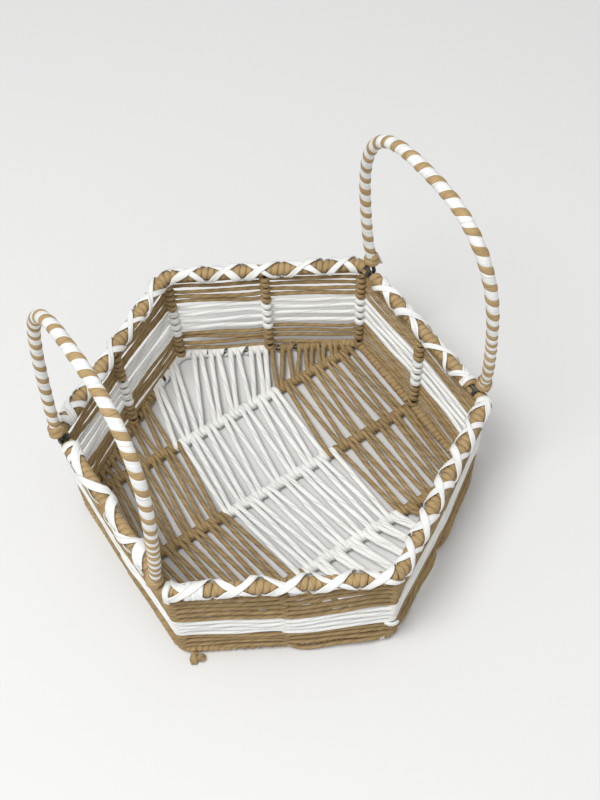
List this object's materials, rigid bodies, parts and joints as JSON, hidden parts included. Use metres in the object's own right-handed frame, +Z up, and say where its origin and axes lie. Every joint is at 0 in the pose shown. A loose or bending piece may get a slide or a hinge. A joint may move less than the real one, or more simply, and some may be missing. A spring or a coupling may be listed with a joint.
{
  "type": "hexagonal basket",
  "caption": "Hexagonal paper-rope basket in brown and white on a wire frame, with a slatted rope floor, ribbon-crossed rim and wound arch handles hooked on the rim.",
  "frame": {"origin": "on the ground under the middle of the basket, which is the bottom centre of its bounding box", "axes": "+Z up, +X through the corner between the right handle's side and the front right side, along the longest extent"},
  "size_m": [0.3147, 0.2783, 0.28],
  "materials": {
    "brown_paper_rope": "twisted kraft paper rope, matt with a faint sheen",
    "white_paper_rope": "twisted bleached paper rope and ribbon, matt with a faint sheen",
    "bare_wire": "dull dark steel wire"
  },
  "bodies": {
    "basket": {"rim_wire_ring": "bare_wire", "base_wire_ring": "bare_wire", "stake_side_right": "bare_wire", "stake_corner_back_right": "bare_wire", "stake_side_back": "bare_wire", "stake_corner_back_left": "bare_wire", "stake_side_back_left": "bare_wire", "stake_corner_far_left": "bare_wire", "stake_side_left": "bare_wire", "stake_corner_front_left": "bare_wire", "stake_side_front": "bare_wire", "stake_corner_front_right": "bare_wire", "stake_side_front_right": "bare_wire", "stake_corner_far_right": "bare_wire", "cross_wire_1": "bare_wire", "cross_wire_2": "bare_wire", "cross_wire_3": "bare_wire", "wrap_side_right": "brown_paper_rope", "wrap_corner_back_right": "brown_paper_rope", "wrap_side_back": "brown_paper_rope", "wrap_corner_back_left": "brown_paper_rope", "wrap_side_back_left": "brown_paper_rope", "wrap_corner_far_left": "brown_paper_rope", "wrap_side_left": "brown_paper_rope", "wrap_corner_front_left": "brown_paper_rope", "wrap_side_front": "brown_paper_rope", "wrap_corner_front_right": "brown_paper_rope", "wrap_side_front_right": "brown_paper_rope", "wrap_corner_far_right": "brown_paper_rope", "wall_rope_lower": "brown_paper_rope", "wall_rope_middle": "white_paper_rope", "wall_rope_upper": "brown_paper_rope", "floor_rope_left": "brown_paper_rope", "floor_rope_middle": "white_paper_rope", "floor_rope_right": "brown_paper_rope", "rope_end_knot": "brown_paper_rope", "base_winding_right": "brown_paper_rope", "base_winding_left": "brown_paper_rope", "rim_winding_right": "brown_paper_rope", "rim_winding_back": "brown_paper_rope", "rim_winding_left": "brown_paper_rope", "rim_winding_front": "brown_paper_rope", "rim_ribbon_right_1": "white_paper_rope", "rim_ribbon_right_2": "white_paper_rope", "rim_ribbon_back_1": "white_paper_rope", "rim_ribbon_back_2": "white_paper_rope", "rim_ribbon_left_1": "white_paper_rope", "rim_ribbon_left_2": "white_paper_rope", "rim_ribbon_front_1": "white_paper_rope", "rim_ribbon_front_2": "white_paper_rope"},
    "handle_right": {"handle_right_wire": "bare_wire", "handle_right_core": "brown_paper_rope", "handle_right_ribbon": "white_paper_rope"},
    "handle_left": {"handle_left_wire": "bare_wire", "handle_left_core": "brown_paper_rope", "handle_left_ribbon": "white_paper_rope"}
  },
  "joints": [
    {"name": "handle_right_swing", "type": "hinge", "parent": "basket", "child": "handle_right", "pos_m": [0.1125, 0.06495, 0.10457], "axis": [-0.5, 0.866, 0], "range_deg": [-86.4, 88.6]},
    {"name": "handle_left_swing", "type": "hinge", "parent": "basket", "child": "handle_left", "pos_m": [-0.1125, -0.06495, 0.10457], "axis": [0.5, -0.866, 0], "range_deg": [-78.4, 88.6]}
  ]
}
